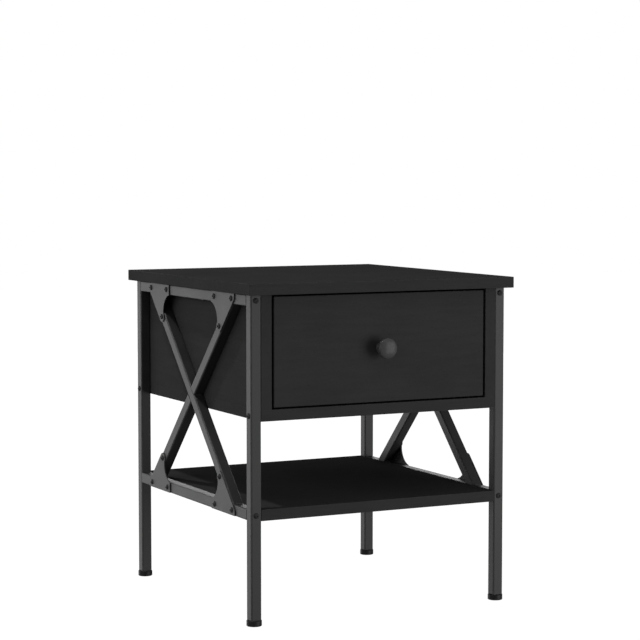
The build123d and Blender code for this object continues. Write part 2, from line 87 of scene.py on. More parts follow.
def blend_colour(tree, share, first, second):
    """First colour turning into the second as the share goes from nought to one."""
    node = add(tree, "Mix", {0: share}, data_type="RGBA")
    for place, value in ((6, first), (7, second)):
        if isinstance(value, bpy.types.NodeSocket):
            tree.links.new(value, node.inputs[place])
        else:
            node.inputs[place].default_value = value
    return node.outputs[2]


def grey(level):
    """A neutral colour."""
    return (level, level, level, 1.0)


def effect(name, inputs, outputs):
    """An empty effect to place in materials: its tree, its inputs as outputs of a node inside,
    and the node inside that takes its results."""
    tree = bpy.data.node_groups.new(name, "ShaderNodeTree")
    for label, (kind, value) in inputs.items():
        socket = tree.interface.new_socket(label, in_out="INPUT", socket_type="NodeSocket" + kind)
        socket.default_value = value
    for label, kind in outputs.items():
        tree.interface.new_socket(label, in_out="OUTPUT", socket_type="NodeSocket" + kind)
    return tree, tree.nodes.new("NodeGroupInput").outputs, tree.nodes.new("NodeGroupOutput").inputs


def edge_distance():
    """Distance from a point on a box-shaped piece to the nearest edge of the box: of its three
    distances to the box's faces, the second smallest."""
    tree, given, result = effect(
        "distance to the nearest edge",
        {"Low corner": ("Vector", (0, 0, 0)), "High corner": ("Vector", (1, 1, 1))},
        {"Distance": "Float", "To faces": "Vector"},
    )
    place = add(tree, "TexCoord").outputs["Object"]
    from_low = vector_calc(tree, "SUBTRACT", place, given["Low corner"])
    from_high = vector_calc(tree, "SUBTRACT", given["High corner"], place)
    above = vector_calc(tree, "ABSOLUTE", from_low)
    below = vector_calc(tree, "ABSOLUTE", from_high)
    to_faces = vector_calc(tree, "MINIMUM", above, below)
    x, y, z = add(tree, "SeparateXYZ", {0: to_faces}).outputs
    smaller = calc(tree, "MINIMUM", x, y)
    larger = calc(tree, "MAXIMUM", x, y)
    second = calc(tree, "MAXIMUM", smaller, calc(tree, "MINIMUM", larger, z))
    tree.links.new(second, result["Distance"])
    tree.links.new(to_faces, result["To faces"])
    return tree


def coated_board():
    """Black melamine: a fine pearl relief with short pores along the grain, cloudy gloss, the
    joint of the edge tape 1 mm in from the edges of the two faces, and edges rubbed a little
    lighter in patches."""
    tree, given, result = effect(
        "coated board",
        {
            "Low corner": ("Vector", (0, 0, 0)),
            "High corner": ("Vector", (1, 1, 1)),
            "Thin way": ("Vector", (0, 0, 1)),
            "Grain stretch": ("Vector", (1, 1, 1)),
            "Deep": ("Color", grey(0.02)),
            "Pale": ("Color", grey(0.03)),
            "Lighter tone": ("Color", grey(0.08)),
        },
        {"Colour": "Color", "Roughness": "Float", "Height": "Float"},
    )
    tape = 0.001
    joint = 0.00012
    rub_width = 0.0011
    pore_colour, joint_colour = grey(0.012), grey(0.006)
    place = add(tree, "TexCoord").outputs["Object"]
    edge = add(tree, "Group", node_tree=edge_distance_effect)
    tree.links.new(given["Low corner"], edge.inputs["Low corner"])
    tree.links.new(given["High corner"], edge.inputs["High corner"])
    distance = edge.outputs["Distance"]
    ways = {0: edge.outputs["To faces"], 1: given["Thin way"]}
    to_thin_face = add(tree, "VectorMath", ways, operation="DOT_PRODUCT").outputs["Value"]
    on_face = calc(tree, "LESS_THAN", to_thin_face, joint)
    off_joint = calc(tree, "ABSOLUTE", calc(tree, "SUBTRACT", distance, tape))
    joint_line = calc(tree, "MULTIPLY", on_face, ramp(tree, off_joint, joint, joint / 2))
    along_grain = vector_calc(tree, "MULTIPLY", place, given["Grain stretch"])
    pores = ramp(tree, noise(tree, along_grain, 1500, 3), 0.58, 0.72)
    figure = noise(tree, along_grain, 160, 5, 0.6)
    pearl = noise(tree, place, 2600, 2)
    cloud = noise(tree, place, 11, 4, 0.55)
    patches = ramp(tree, noise(tree, place, 170, 3), 0.5, 0.68)
    lightened = calc(tree, "MULTIPLY", patches, ramp(tree, distance, rub_width, 0))
    shade = calc(tree, "MULTIPLY_ADD", figure, 0.5, calc(tree, "MULTIPLY", cloud, 0.5))
    plain = blend_colour(tree, ramp(tree, shade, 0.3, 0.7), given["Deep"], given["Pale"])
    pored = blend_colour(tree, calc(tree, "MULTIPLY", pores, 0.35), plain, pore_colour)
    joined = blend_colour(tree, calc(tree, "MULTIPLY", joint_line, 0.55), pored, joint_colour)
    worn = blend_colour(tree, calc(tree, "MULTIPLY", lightened, 0.2), joined, given["Lighter tone"])
    tree.links.new(worn, result["Colour"])
    gloss = calc(tree, "MULTIPLY_ADD", cloud, 0.16, 0.52)
    rough = calc(tree, "MULTIPLY_ADD", pores, 0.08, calc(tree, "MULTIPLY_ADD", lightened, -0.1, gloss))
    tree.links.new(rough, result["Roughness"])
    relief = calc(tree, "MULTIPLY_ADD", pores, -0.6, pearl)
    tree.links.new(calc(tree, "MULTIPLY_ADD", joint_line, -1.6, relief), result["Height"])
    return tree


edge_distance_effect = edge_distance()
coated_board_effect = coated_board()


def surface(name, specular=0.5, metallic=0.0, bump=0.00004, bump_strength=0.5):
    """A new material: its tree, and its shader with a Bump node ready on the shader's Normal.
    Bump is the height of the relief in metres."""
    material = bpy.data.materials.new(name)
    material.use_nodes = True
    tree = material.node_tree
    shader = tree.nodes["Principled BSDF"]
    shader.inputs["Specular IOR Level"].default_value = specular
    shader.inputs["Metallic"].default_value = metallic
    relief = add(tree, "Bump", {"Strength": bump_strength, "Distance": bump})
    tree.links.new(relief.outputs["Normal"], shader.inputs["Normal"])
    return material, tree, shader, relief


def finish_with(material_name, effect_tree, values, **settings):
    """A material whose colour, roughness and relief all come from one effect."""
    material, tree, shader, relief = surface(material_name, **settings)
    group = add(tree, "Group", values, node_tree=effect_tree)
    tree.links.new(group.outputs["Colour"], shader.inputs["Base Color"])
    tree.links.new(group.outputs["Roughness"], shader.inputs["Roughness"])
    tree.links.new(group.outputs["Height"], relief.inputs["Height"])
    return material


def dress(node, material):
    """Gives a CAD node its finish."""
    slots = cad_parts[node].data.materials
    slots.clear()
    slots.append(material)


def dress_board(node, thin_way, grain_stretch, deep=0.0225, pale=0.0265):
    """Coats a board in black melamine, with its tape joints placed from its own box."""
    low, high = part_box(node)
    values = {
        "Low corner": low,
        "High corner": high,
        "Thin way": thin_way,
        "Grain stretch": grain_stretch,
        "Deep": grey(deep),
        "Pale": grey(pale),
    }
    melamine = finish_with(node + "_melamine", coated_board_effect, values, specular=0.0)
    dress(node, melamine)


along_x = (0.09, 1, 1)
along_y = (1, 0.09, 1)
flat = (0, 0, 1)
dress_board("top_panel", flat, along_x)

# ---------------------------------------------------------------- shelf
# The shelf is the same board, set between the two shelf rails and screwed down to four small
# steel tabs that are welded under them.
dress_board("shelf_panel", flat, along_x)

# ---------------------------------------------------------------- cabinet
# Two side boards and a bottom board of the same melamine, doweled together and to the top.
# Screws through the legs go into the ends of the bottom board.
dress_board("cabinet_bottom", flat, along_x)
for side in ("left", "right"):
    dress_board(f"cabinet_side_{side}", (1, 0, 0), along_y)

# ---------------------------------------------------------------- cabinet back and drawer bottom
# 3 mm hardboard, lacquered black on its good side, slid into grooves. It isn't screwed.


def pressed_fibre():
    """Hardboard: short crossing fibres under a thin lacquer, with a mottled gloss."""
    tree, given, result = effect(
        "pressed fibre",
        {"Deep": ("Color", grey(0.02)), "Pale": ("Color", grey(0.04))},
        {"Colour": "Color", "Roughness": "Float", "Height": "Float"},
    )
    place = add(tree, "TexCoord").outputs["Object"]
    fibres = []
    for stretch in ((0.15, 1, 1), (1, 0.3, 0.15), (0.5, 0.5, 1)):
        laid = vector_calc(tree, "MULTIPLY", place, stretch)
        fibres.append(noise(tree, laid, 900, 4, 0.6))
    felt = calc(tree, "MAXIMUM", fibres[0], calc(tree, "MAXIMUM", fibres[1], fibres[2]))
    mottle = noise(tree, place, 60, 4)
    shade = calc(tree, "MULTIPLY_ADD", mottle, 0.5, calc(tree, "MULTIPLY", felt, 0.5))
    colour = blend_colour(tree, ramp(tree, shade, 0.35, 0.7), given["Deep"], given["Pale"])
    tree.links.new(colour, result["Colour"])
    tree.links.new(calc(tree, "MULTIPLY_ADD", mottle, 0.25, 0.45), result["Roughness"])
    tree.links.new(felt, result["Height"])
    return tree


pressed_fibre_effect = pressed_fibre()
fibre_values = {"Deep": grey(0.022), "Pale": grey(0.036)}
fibre_relief = 0.00008
hardboard = finish_with(
    "lacquered_hardboard", pressed_fibre_effect, fibre_values, specular=0.25, bump=fibre_relief
)
dress("cabinet_back", hardboard)
dress("drawer_bottom", hardboard)

# ---------------------------------------------------------------- drawer front
# The same melamine board, set in flush between the cabinet sides with a narrow gap all round.
# Its grain runs across, and its four edges are taped.
dress_board("drawer_front", (0, 1, 0), along_x)

# ---------------------------------------------------------------- drawer box
# The sides and back are 12 mm board in a plain dark foil, pegged and glued to the front and
# screwed at the back.
foil_deep, foil_pale = 0.024, 0.034
for board in ("drawer_side_left", "drawer_side_right"):
    dress_board(board, (1, 0, 0), along_y, foil_deep, foil_pale)
dress_board("drawer_back", (0, 1, 0), along_x, foil_deep, foil_pale)

# ---------------------------------------------------------------- steel frame
# Legs, rails and braces are 15 mm square tube, and the corner plates and shelf tabs are flat
# steel. All of it is coated together in dark grey powder with a fine texture.


def powder_coat():
    """Powder coating: an orange-peel swell with a finer sandy grain on it, cloudy gloss and pale
    specks, and a painted sheen where the surface turns at a corner: every corner is coloured
    lighter, and more so in patches of wear. Once a leaning tube is turned back by Tilt about X,
    each of its flat faces looks along an axis, so a corner is where the normal isn't near any axis."""
    tree, given, result = effect(
        "powder coat",
        {
            "Tilt": ("Float", 0.0),
            "Deep": ("Color", grey(0.012)),
            "Pale": ("Color", grey(0.018)),
            "Lighter tone": ("Color", grey(0.06)),
        },
        {"Colour": "Color", "Roughness": "Float", "Height": "Float"},
    )
    coordinates = add(tree, "TexCoord")
    place = coordinates.outputs["Object"]
    turn = add(tree, "VectorRotate", {0: coordinates.outputs["Normal"]}, rotation_type="X_AXIS")
    tree.links.new(given["Tilt"], turn.inputs["Angle"])
    x, y, z = add(tree, "SeparateXYZ", {0: vector_calc(tree, "ABSOLUTE", turn.outputs[0])}).outputs
    facing = calc(tree, "MAXIMUM", x, calc(tree, "MAXIMUM", y, z))
    # Painted sheen: every corner of the steel is coloured lighter, as if it caught the light, and
    # the patches of wear make it stronger in places.
    corner = ramp(tree, facing, 0.985, 0.8)
    patches = ramp(tree, noise(tree, place, 120, 4), 0.45, 0.7)
    sheen_and_wear_share = calc(tree, "MULTIPLY_ADD", patches, 0.4, 0.6)
    lightened = calc(tree, "MULTIPLY", corner, sheen_and_wear_share)
    swell = noise(tree, place, 1100, 1)
    sand = noise(tree, place, 4200, 2)
    cloud = noise(tree, place, 16, 4, 0.55)
    specks = ramp(tree, noise(tree, place, 700, 2), 0.66, 0.74)
    plain = blend_colour(tree, ramp(tree, cloud, 0.35, 0.65), given["Deep"], given["Pale"])
    specked = blend_colour(tree, calc(tree, "MULTIPLY", specks, 0.25), plain, given["Lighter tone"])
    # The corners are blended towards the lighter tone here: painted sheen all along them, with real
    # wear in patches.
    worn = blend_colour(tree, calc(tree, "MULTIPLY", lightened, 0.45), specked, given["Lighter tone"])
    tree.links.new(worn, result["Colour"])
    gloss = calc(tree, "MULTIPLY_ADD", cloud, 0.12, 0.49)
    tree.links.new(calc(tree, "MULTIPLY_ADD", lightened, -0.08, gloss), result["Roughness"])
    tree.links.new(calc(tree, "MULTIPLY_ADD", sand, 0.45, swell), result["Height"])
    return tree


powder_coat_effect = powder_coat()


def coated_steel(name, tilt=0.0):
    """Grey powder-coated steel for tubes that lean by this angle about X."""
    texture_height = 0.00003
    # The lighter tone colours the pale specks and the painted sheen along the corners.
    values = {"Tilt": tilt, "Deep": grey(0.0095), "Pale": grey(0.0135), "Lighter tone": grey(0.07)}
    return finish_with(name, powder_coat_effect, values, specular=0.25, bump=texture_height)


# A brace leans by the slope of its own line between the rails, and the second brace by the same
# angle the other way.
foot_of_brace, head_of_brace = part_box("brace_long_left")
brace_rise = head_of_brace.z - foot_of_brace.z
brace_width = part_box("leg_front_left")[1].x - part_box("leg_front_left")[0].x
brace_run = head_of_brace.y - foot_of_brace.y - brace_width
brace_angle = math.atan2(brace_run, brace_rise)
upright_steel = coated_steel("powder_coated_steel")
leaning_steel = {
    "long": coated_steel("powder_coated_steel_long_brace", brace_angle),
    "lower": coated_steel("powder_coated_steel_cross_brace", -brace_angle),
}
leaning_steel["upper"] = leaning_steel["lower"]
for side in ("left", "right"):
    for end in ("front", "back"):
        dress(f"leg_{end}_{side}", upright_steel)
        for level in ("top", "bottom"):
            dress(f"corner_plate_{level}_{end}_{side}", upright_steel)
    for rail in ("top", "shelf"):
        dress(f"{rail}_rail_{side}", upright_steel)
    for brace, steel in leaning_steel.items():
        dress(f"brace_{brace}_{side}", steel)
dress("shelf_tabs", upright_steel)

# ---------------------------------------------------------------- weld beads
# Short beads of weld hold the braces to the rails and to each other where they cross, and the
# tabs to the shelf rails. They are made before the powder goes on, so they have its finish.


def new_piece(name, points, faces, body, material, crease=math.radians(40)):
    """A mesh from arrays of points and faces, smooth but for its creases, that rides on a body.
    Its signed volume, the sum over triangles of a . (b x c) / 6, is made positive, so that its
    faces point outwards."""
    points = np.asarray(points, float)
    first, second, third = (points[[face[i] for face in faces]] for i in range(3))
    last = points[[face[-1] for face in faces]]
    volume = np.einsum("ij,ij->i", first, np.cross(second, third)).sum()
    volume += np.einsum("ij,ij->i", first, np.cross(third, last)).sum()
    if volume < 0:
        faces = [face[::-1] for face in faces]
    mesh = bpy.data.meshes.new(name)
    mesh.from_pydata(points.tolist(), [], faces)
    mesh.polygons.foreach_set("use_smooth", np.ones(len(faces), bool))
    mesh.set_sharp_from_angle(angle=crease)
    mesh.materials.append(material)
    piece = bpy.data.objects.new(name, mesh)
    bpy.context.scene.collection.objects.link(piece)
    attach(piece, body)
    return piece


def weld_bead(start, end, radius, ripple_length):
    """A bead from start to end: at a share s of its length, a ring of radius
    r (1 + 0.12 sin(2 pi s L / p)) sqrt(1 - (2 s - 1)^8), so it ripples with each step p of the
    torch and closes to a point at both ends."""
    start, end = np.array(start, float), np.array(end, float)
    length = np.linalg.norm(end - start)
    line = (end - start) / length
    across = np.cross(line, (0.3, 0.5, 0.81))
    across /= np.linalg.norm(across)
    up = np.cross(line, across)
    rings, turns = 17, 10
    share = np.linspace(0, 1, rings + 2)[1:-1, None, None]
    turn = np.linspace(0, 2 * np.pi, turns, endpoint=False)[None, :, None]
    ripple = 1 + 0.12 * np.sin(2 * np.pi * share * length / ripple_length)
    size = radius * ripple * np.sqrt(1 - (2 * share - 1) ** 8)
    ring_points = start + line * length * share + size * (across * np.cos(turn) + up * np.sin(turn))
    points = np.concatenate([ring_points.reshape(-1, 3), start[None], end[None]])
    ring, step = np.meshgrid(np.arange(rings - 1), np.arange(turns), indexing="ij")
    ahead = (step + 1) % turns
    here, beyond = ring * turns, (ring + 1) * turns
    quads = np.stack([here + step, here + ahead, beyond + ahead, beyond + step], -1)
    around = np.arange(turns)
    after = (around + 1) % turns
    first_tip, last_tip = np.full(turns, rings * turns), np.full(turns, rings * turns + 1)
    first_cap = np.stack([after, around, first_tip], -1)
    last_row = (rings - 1) * turns
    last_cap = np.stack([last_row + around, last_row + after, last_tip], -1)
    return points, quads.reshape(-1, 4).tolist() + first_cap.tolist() + last_cap.tolist()


bead_radius = 0.0013
bead_step = 0.0022
bead_end_gap = 0.0025
tab_bead_length = 0.026
rail_low, rail_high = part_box("top_rail_right")
brace_low, brace_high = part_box("brace_long_right")
tab_low, tab_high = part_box("shelf_tabs")
frame_middle = (rail_low.y + rail_high.y) / 2
crossing_z = (brace_low.z + brace_high.z) / 2
brace_half_width = (rail_high.x - rail_low.x) / 2
brace_end_y = brace_high.y - frame_middle
half_cut = brace_half_width / math.cos(brace_angle)
half_cut_up = brace_half_width / math.sin(brace_angle)
bead_spots = [
    (frame_middle - half_cut, crossing_z),
    (frame_middle + half_cut, crossing_z),
    (frame_middle, crossing_z - half_cut_up),
    (frame_middle, crossing_z + half_cut_up),
]
for way in (-1, 1):
    for edge_y in (brace_end_y, brace_end_y - 2 * half_cut):
        bead_spots.append((frame_middle + way * edge_y, brace_low.z))
        bead_spots.append((frame_middle + way * edge_y, brace_high.z))
for side, way in (("left", -1), ("right", 1)):
    bead_points, bead_faces = [], []
    runs = [
        ((way * (rail_low.x + bead_end_gap), y, z), (way * (rail_high.x - bead_end_gap), y, z))
        for y, z in bead_spots
    ]
    for tab_y in (tab_low.y, tab_high.y):
        inner = tab_y + math.copysign(tab_bead_length, -tab_y)
        runs.append(((way * tab_high.x, tab_y, tab_high.z), (way * tab_high.x, inner, tab_high.z)))
    for start, end in runs:
        points, faces = weld_bead(start, end, bead_radius, bead_step)
        count = sum(len(group) for group in bead_points)
        bead_faces += [[corner + count for corner in face] for face in faces]
        bead_points.append(points)
    points = np.concatenate(bead_points)
    new_piece(f"weld_beads_{side}", points, bead_faces, "frame", upright_steel)

# ---------------------------------------------------------------- screws that show
# Button-head screws with a hexagon socket, blackened and oiled. They hold the corner plates, the
# rail ends, the cabinet and the shelf.


def plated_metal():
    """A thin finish on metal: a fine grain, darker specks, and a stain that changes the gloss."""
    tree, given, result = effect(
        "plated metal",
        {
            "Deep": ("Color", grey(0.02)),
            "Pale": ("Color", grey(0.04)),
            "Gloss": ("Float", 0.3),
            "Grain": ("Float", 3000.0),
        },
        {"Colour": "Color", "Roughness": "Float", "Height": "Float"},
    )
    place = add(tree, "TexCoord").outputs["Object"]
    grain_values = {"Vector": place, "Scale": given["Grain"], "Detail": 3.0}
    grain = add(tree, "TexNoise", grain_values).outputs[0]
    stain = noise(tree, place, 300, 4, 0.6)
    shade = calc(tree, "MULTIPLY_ADD", grain, 0.4, calc(tree, "MULTIPLY", stain, 0.6))
    colour = blend_colour(tree, ramp(tree, shade, 0.35, 0.65), given["Deep"], given["Pale"])
    tree.links.new(colour, result["Colour"])
    tree.links.new(calc(tree, "MULTIPLY_ADD", stain, 0.2, given["Gloss"]), result["Roughness"])
    tree.links.new(grain, result["Height"])
    return tree


plated_metal_effect = plated_metal()
oxide_values = {"Deep": grey(0.007), "Pale": grey(0.014), "Gloss": 0.42}
plating_relief = 0.00001
black_oxide = finish_with(
    "black_oxide", plated_metal_effect, oxide_values, specular=0.2, bump=plating_relief
)
for screws in ("corner_plate_screws", "frame_screws", "cabinet_screws", "shelf_tab_screws"):
    dress(screws, black_oxide)

# ---------------------------------------------------------------- glides
# A moulded black glide closes each leg: a round foot with a softened edge and a slightly crowned
# sole, and a stem with three gripping rings that is knocked into the tube.


def turned(outline, centre, axis, turns, ring=False):
    """A surface of revolution: for an outline of (radius, height) and an angle t, the point
    centre + axis * height + radius * (side * cos t + up * sin t). An end of the outline with no
    radius is a single point; a ring's outline runs round and closes on itself."""
    outline = np.array(outline, float)
    axis = np.array(axis, float)
    side = np.cross(axis, (0.0, 0.0, 1.0) if abs(axis[2]) < 0.9 else (0.0, 1.0, 0.0))
    up = np.cross(axis, side)
    body = outline if ring else outline[1:-1]
    turn = np.linspace(0, 2 * np.pi, turns, endpoint=False)
    circle = side * np.cos(turn)[:, None] + up * np.sin(turn)[:, None]
    radii, heights = body[:, 0, None, None], body[:, 1, None, None]
    points = (np.array(centre) + axis * heights + circle[None] * radii).reshape(-1, 3)
    rows = len(body)
    row, step = np.meshgrid(np.arange(rows if ring else rows - 1), np.arange(turns), indexing="ij")
    here, beyond, ahead = row * turns, (row + 1) % rows * turns, (step + 1) % turns
    quads = np.stack([here + step, here + ahead, beyond + ahead, beyond + step], -1)
    faces = quads.reshape(-1, 4).tolist()
    if not ring:
        poles = np.array(centre) + axis * outline[[0, -1], 1, None]
        around = np.arange(turns)
        after = (around + 1) % turns
        last_row = (rows - 1) * turns
        first_tip, last_tip = np.full(turns, rows * turns), np.full(turns, rows * turns + 1)
        faces += np.stack([after, around, first_tip], -1).tolist()
        faces += np.stack([last_row + around, last_row + after, last_tip], -1).tolist()
        points = np.concatenate([points, poles])
    return points, faces


def arc(start, middle, end, count):
    """Points on the circle through three places, from start to end. Its centre is where the
    perpendicular bisectors of the two chords meet."""
    start, middle, end = (np.array(place, float) for place in (start, middle, end))
    chords = 2 * np.array([middle - start, end - start])
    squares = np.array([middle @ middle - start @ start, end @ end - start @ start])
    centre = np.linalg.solve(chords, squares)
    radius = np.linalg.norm(start - centre)
    angles = np.unwrap([math.atan2(*(place - centre)[::-1]) for place in (start, middle, end)])
    sweep = np.linspace(angles[0], angles[2], count)
    return (centre + radius * np.stack([np.cos(sweep), np.sin(sweep)], -1)).tolist()


def moulded_plastic():
    """Moulded plastic: the fine matt of a sparked mould, faint flow marks and scuffs."""
    tree, given, result = effect(
        "moulded plastic",
        {"Deep": ("Color", grey(0.01)), "Pale": ("Color", grey(0.02)), "Gloss": ("Float", 0.45)},
        {"Colour": "Color", "Roughness": "Float", "Height": "Float"},
    )
    place = add(tree, "TexCoord").outputs["Object"]
    spark = noise(tree, place, 5000, 2)
    flow = noise(tree, vector_calc(tree, "MULTIPLY", place, (1, 1, 0.25)), 220, 4, 0.6)
    round_about = vector_calc(tree, "MULTIPLY", place, (1, 1, 8))
    scuffs = ramp(tree, noise(tree, round_about, 260, 5, 0.7), 0.56, 0.7)
    shade = calc(tree, "MULTIPLY_ADD", scuffs, 0.5, calc(tree, "MULTIPLY", flow, 0.5))
    colour = blend_colour(tree, ramp(tree, shade, 0.15, 0.75), given["Deep"], given["Pale"])
    tree.links.new(colour, result["Colour"])
    tree.links.new(calc(tree, "MULTIPLY_ADD", scuffs, 0.15, given["Gloss"]), result["Roughness"])
    tree.links.new(calc(tree, "MULTIPLY_ADD", scuffs, 0.4, spark), result["Height"])
    return tree


moulded_plastic_effect = moulded_plastic()
glide_values = {"Deep": grey(0.004), "Pale": grey(0.010), "Gloss": 0.5}
spark_relief = 0.00001
glide_plastic = finish_with(
    "black_glide_plastic", moulded_plastic_effect, glide_values, specular=0.15, bump=spark_relief
)
glide_turns = 64
sole_radius = 0.0090
stem_radius = 0.0050
ring_radius = 0.0060
ring_lead, ring_crest, ring_tail = 0.0010, 0.0004, 0.0006
ring_count = 3
sole_crown = 0.0002
neck_fillet = 0.0004
stem_nose = 0.002
for side in ("left", "right"):
    for end in ("front", "back"):
        low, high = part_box(f"foot_{end}_{side}")
        leg_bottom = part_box(f"leg_{end}_{side}")[0].z
        radius = (high.x - low.x) / 2
        soft = radius - sole_radius
        round_in = soft * (1 - math.sqrt(0.5))
        outline = [(0, 0), (sole_radius * 0.7, 0)]
        lower_bend = (radius - round_in, round_in)
        outline += arc((sole_radius, sole_crown), lower_bend, (radius, soft), 9)
        upper_bend = (radius - round_in, leg_bottom - round_in)
        outline += arc((radius, leg_bottom - soft), upper_bend, (sole_radius, leg_bottom), 9)
        outline += [(stem_radius + neck_fillet, leg_bottom)]
        outline += [(stem_radius, leg_bottom + neck_fillet)]
        ring_pitch = (high.z - leg_bottom) / (ring_count + 1)
        for number in range(1, ring_count + 1):
            ring_z = leg_bottom + number * ring_pitch
            outline += [(stem_radius, ring_z - ring_lead), (ring_radius, ring_z)]
            outline += [(ring_radius, ring_z + ring_crest), (stem_radius, ring_z + ring_tail)]
        nose_bend = (stem_radius - 0.35 * stem_nose, high.z - 0.3 * stem_nose)
        nose_end = (stem_radius - stem_nose, high.z)
        outline += arc((stem_radius, high.z - stem_nose), nose_bend, nose_end, 6)
        outline += [(0, high.z)]
        middle = ((low.x + high.x) / 2, (low.y + high.y) / 2, 0)
        points, faces = turned(outline, middle, (0, 0, 1), glide_turns)
        name = f"glide_{end}_{side}"
        glide = new_piece(name, points, faces, "frame", glide_plastic)
        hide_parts(f"foot_{end}_{side}")

# ---------------------------------------------------------------- knob
# A turned knob with a waist, a full round rim and a slightly domed face, lacquered grey. A screw
# from inside the drawer holds it against the front.


def turned_lacquer():
    """Satin lacquer over a turned part: rings of the turning tool about the knob's own axis,
    soft cloudy gloss and tone, and a fine sandy relief."""
    tree, given, result = effect(
        "turned lacquer",
        {
            "Axis": ("Vector", (0, 0, 0)),
            "Deep": ("Color", grey(0.03)),
            "Pale": ("Color", grey(0.04)),
        },
        {"Colour": "Color", "Roughness": "Float", "Height": "Float"},
    )
    place = add(tree, "TexCoord").outputs["Object"]
    from_axis = vector_calc(tree, "SUBTRACT", place, given["Axis"])
    x, y, z = add(tree, "SeparateXYZ", {0: from_axis}).outputs
    radius = calc(tree, "SQRT", calc(tree, "MULTIPLY_ADD", x, x, calc(tree, "MULTIPLY", z, z)))
    ring_place = add(tree, "CombineXYZ", {0: radius, 1: y}).outputs[0]
    rings = noise(tree, ring_place, 2600, 3, 0.6)
    cloud = noise(tree, place, 180, 4, 0.6)
    sand = noise(tree, place, 4500, 2)
    shade = calc(tree, "MULTIPLY_ADD", rings, 0.3, calc(tree, "MULTIPLY", cloud, 0.7))
    colour = blend_colour(tree, ramp(tree, shade, 0.3, 0.7), given["Deep"], given["Pale"])
    tree.links.new(colour, result["Colour"])
    tree.links.new(calc(tree, "MULTIPLY_ADD", cloud, 0.06, 0.20), result["Roughness"])
    tree.links.new(calc(tree, "MULTIPLY_ADD", sand, 0.3, rings), result["Height"])
    return tree


low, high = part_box("knob")
knob_radius = (high.x - low.x) / 2
knob_reach = high.y - low.y
knob_base = 0.0085
knob_waist = 0.0060
knob_bore = 0.0021
knob_bore_depth = 0.0120
foot_edge = 0.0003


def on_knob(radius_share, reach_share):
    """A point of the outline, by its share of the knob's radius and of its reach."""
    return knob_radius * radius_share, knob_reach * reach_share


knob_outline = [(0, knob_bore_depth), (knob_bore, knob_bore_depth), (knob_bore, 0)]
knob_outline += [(knob_base - foot_edge, 0), (knob_base, foot_edge)]
knob_outline += [(knob_base, knob_reach * 0.08)]
cove_start, cove_end = (knob_base, knob_reach * 0.081), (knob_waist, knob_reach * 0.27)
knob_outline += arc(cove_start, on_knob(0.48, 0.15), cove_end, 10)
flare_start = (knob_waist, knob_reach * 0.38)
knob_outline += arc(flare_start, on_knob(0.58, 0.585), on_knob(1, 0.755), 16)
knob_outline += arc(on_knob(1, 0.76), on_knob(0.938, 0.874), on_knob(0.79, 0.94), 18)[1:]
face_radius, face_start = knob_outline[-1]
face_rise = knob_reach - face_start
for share in np.linspace(1, 0, 16)[1:]:
    knob_outline.append((face_radius * share, knob_reach - face_rise * share**2))
knob_seat = ((low.x + high.x) / 2, high.y, (low.z + high.z) / 2)
knob_values = {"Axis": knob_seat, "Deep": grey(0.036), "Pale": grey(0.041)}
turning_relief = 0.000004
knob_lacquer = finish_with(
    "grey_knob_lacquer", turned_lacquer(), knob_values, specular=0.055, bump=turning_relief
)
points, faces = turned(knob_outline, knob_seat, (0, -1, 0), 96)
knob_piece = new_piece("turned_knob", points, faces, "drawer", knob_lacquer)
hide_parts("knob")

# ---------------------------------------------------------------- drawer runners
# Roller runners of bent 1.2 mm sheet in a pale epoxy coat: one pair screwed to the cabinet sides,
# one pair under the drawer sides.
epoxy_values = {"Deep": grey(0.5), "Pale": (0.58, 0.58, 0.56, 1.0), "Gloss": 0.3, "Grain": 1500.0}
epoxy_relief = 0.00002
epoxy_coat = finish_with("pale_epoxy_coat", plated_metal_effect, epoxy_values, bump=epoxy_relief)
for side in ("left", "right"):
    dress(f"cabinet_runner_{side}", epoxy_coat)
    dress(f"drawer_runner_{side}", epoxy_coat)

# ---------------------------------------------------------------- rollers
# White nylon rollers, one at the front of each cabinet runner and one at the back of each drawer
# runner. Each turns on a shouldered pin as the drawer slides.
nylon_values = {"Deep": (0.66, 0.65, 0.61, 1.0), "Pale": (0.75, 0.74, 0.71, 1.0), "Gloss": 0.3}
nylon = finish_with("white_nylon", moulded_plastic_effect, nylon_values, bump=spark_relief)
pin_hole = 0.00205
hub_radius = 0.0034
rim_inside = 0.0056
dish = 0.0007
shoulder = 0.0007
hole_edge = 0.0003
web_step = 0.0004
roller_turns = 56
for side in ("left", "right"):
    for end in ("front", "back"):
        low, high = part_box(f"roller_{end}_{side}")
        tread_radius = (high.z - low.z) / 2
        width = high.x - low.x
        bend = shoulder * (1 - math.sqrt(0.5))
        half_outline = [(pin_hole, dish + hole_edge), (pin_hole + hole_edge, dish)]
        half_outline += [(hub_radius, dish), (hub_radius + web_step, dish * 2)]
        half_outline += [(rim_inside - web_step, dish * 2), (rim_inside, 0)]
        tread_edge, tread_bend = (tread_radius - shoulder, 0), (tread_radius - bend, bend)
        half_outline += arc(tread_edge, tread_bend, (tread_radius, shoulder), 7)
        far_half = [(radius, width - height) for radius, height in reversed(half_outline)]
        middle = (low.x, (low.y + high.y) / 2, (low.z + high.z) / 2)
        points, faces = turned(half_outline + far_half, middle, (1, 0, 0), roller_turns, ring=True)
        body = f"{end}_roller_{side}"
        name = f"nylon_roller_{end}_{side}"
        roller = new_piece(name, points, faces, body, nylon)
        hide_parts(f"roller_{end}_{side}")

# ---------------------------------------------------------------- zinc-plated fixings
# Roller pins, runner screws, the drawer's own screws and the threaded plugs in the rail ends are
# steel with bright zinc on it.
zinc_values = {"Deep": (0.5, 0.5, 0.52, 1.0), "Pale": (0.62, 0.62, 0.63, 1.0), "Gloss": 0.22}
zinc = finish_with(
    "bright_zinc", plated_metal_effect, zinc_values, metallic=1.0, bump=plating_relief
)
for fixing in (
    "rail_end_plugs",
    "knob_screw",
    "drawer_back_screws",
    "drawer_runner_screws",
    "cabinet_runner_screws",
    "drawer_roller_pins",
    "cabinet_roller_pins",
):
    dress(fixing, zinc)

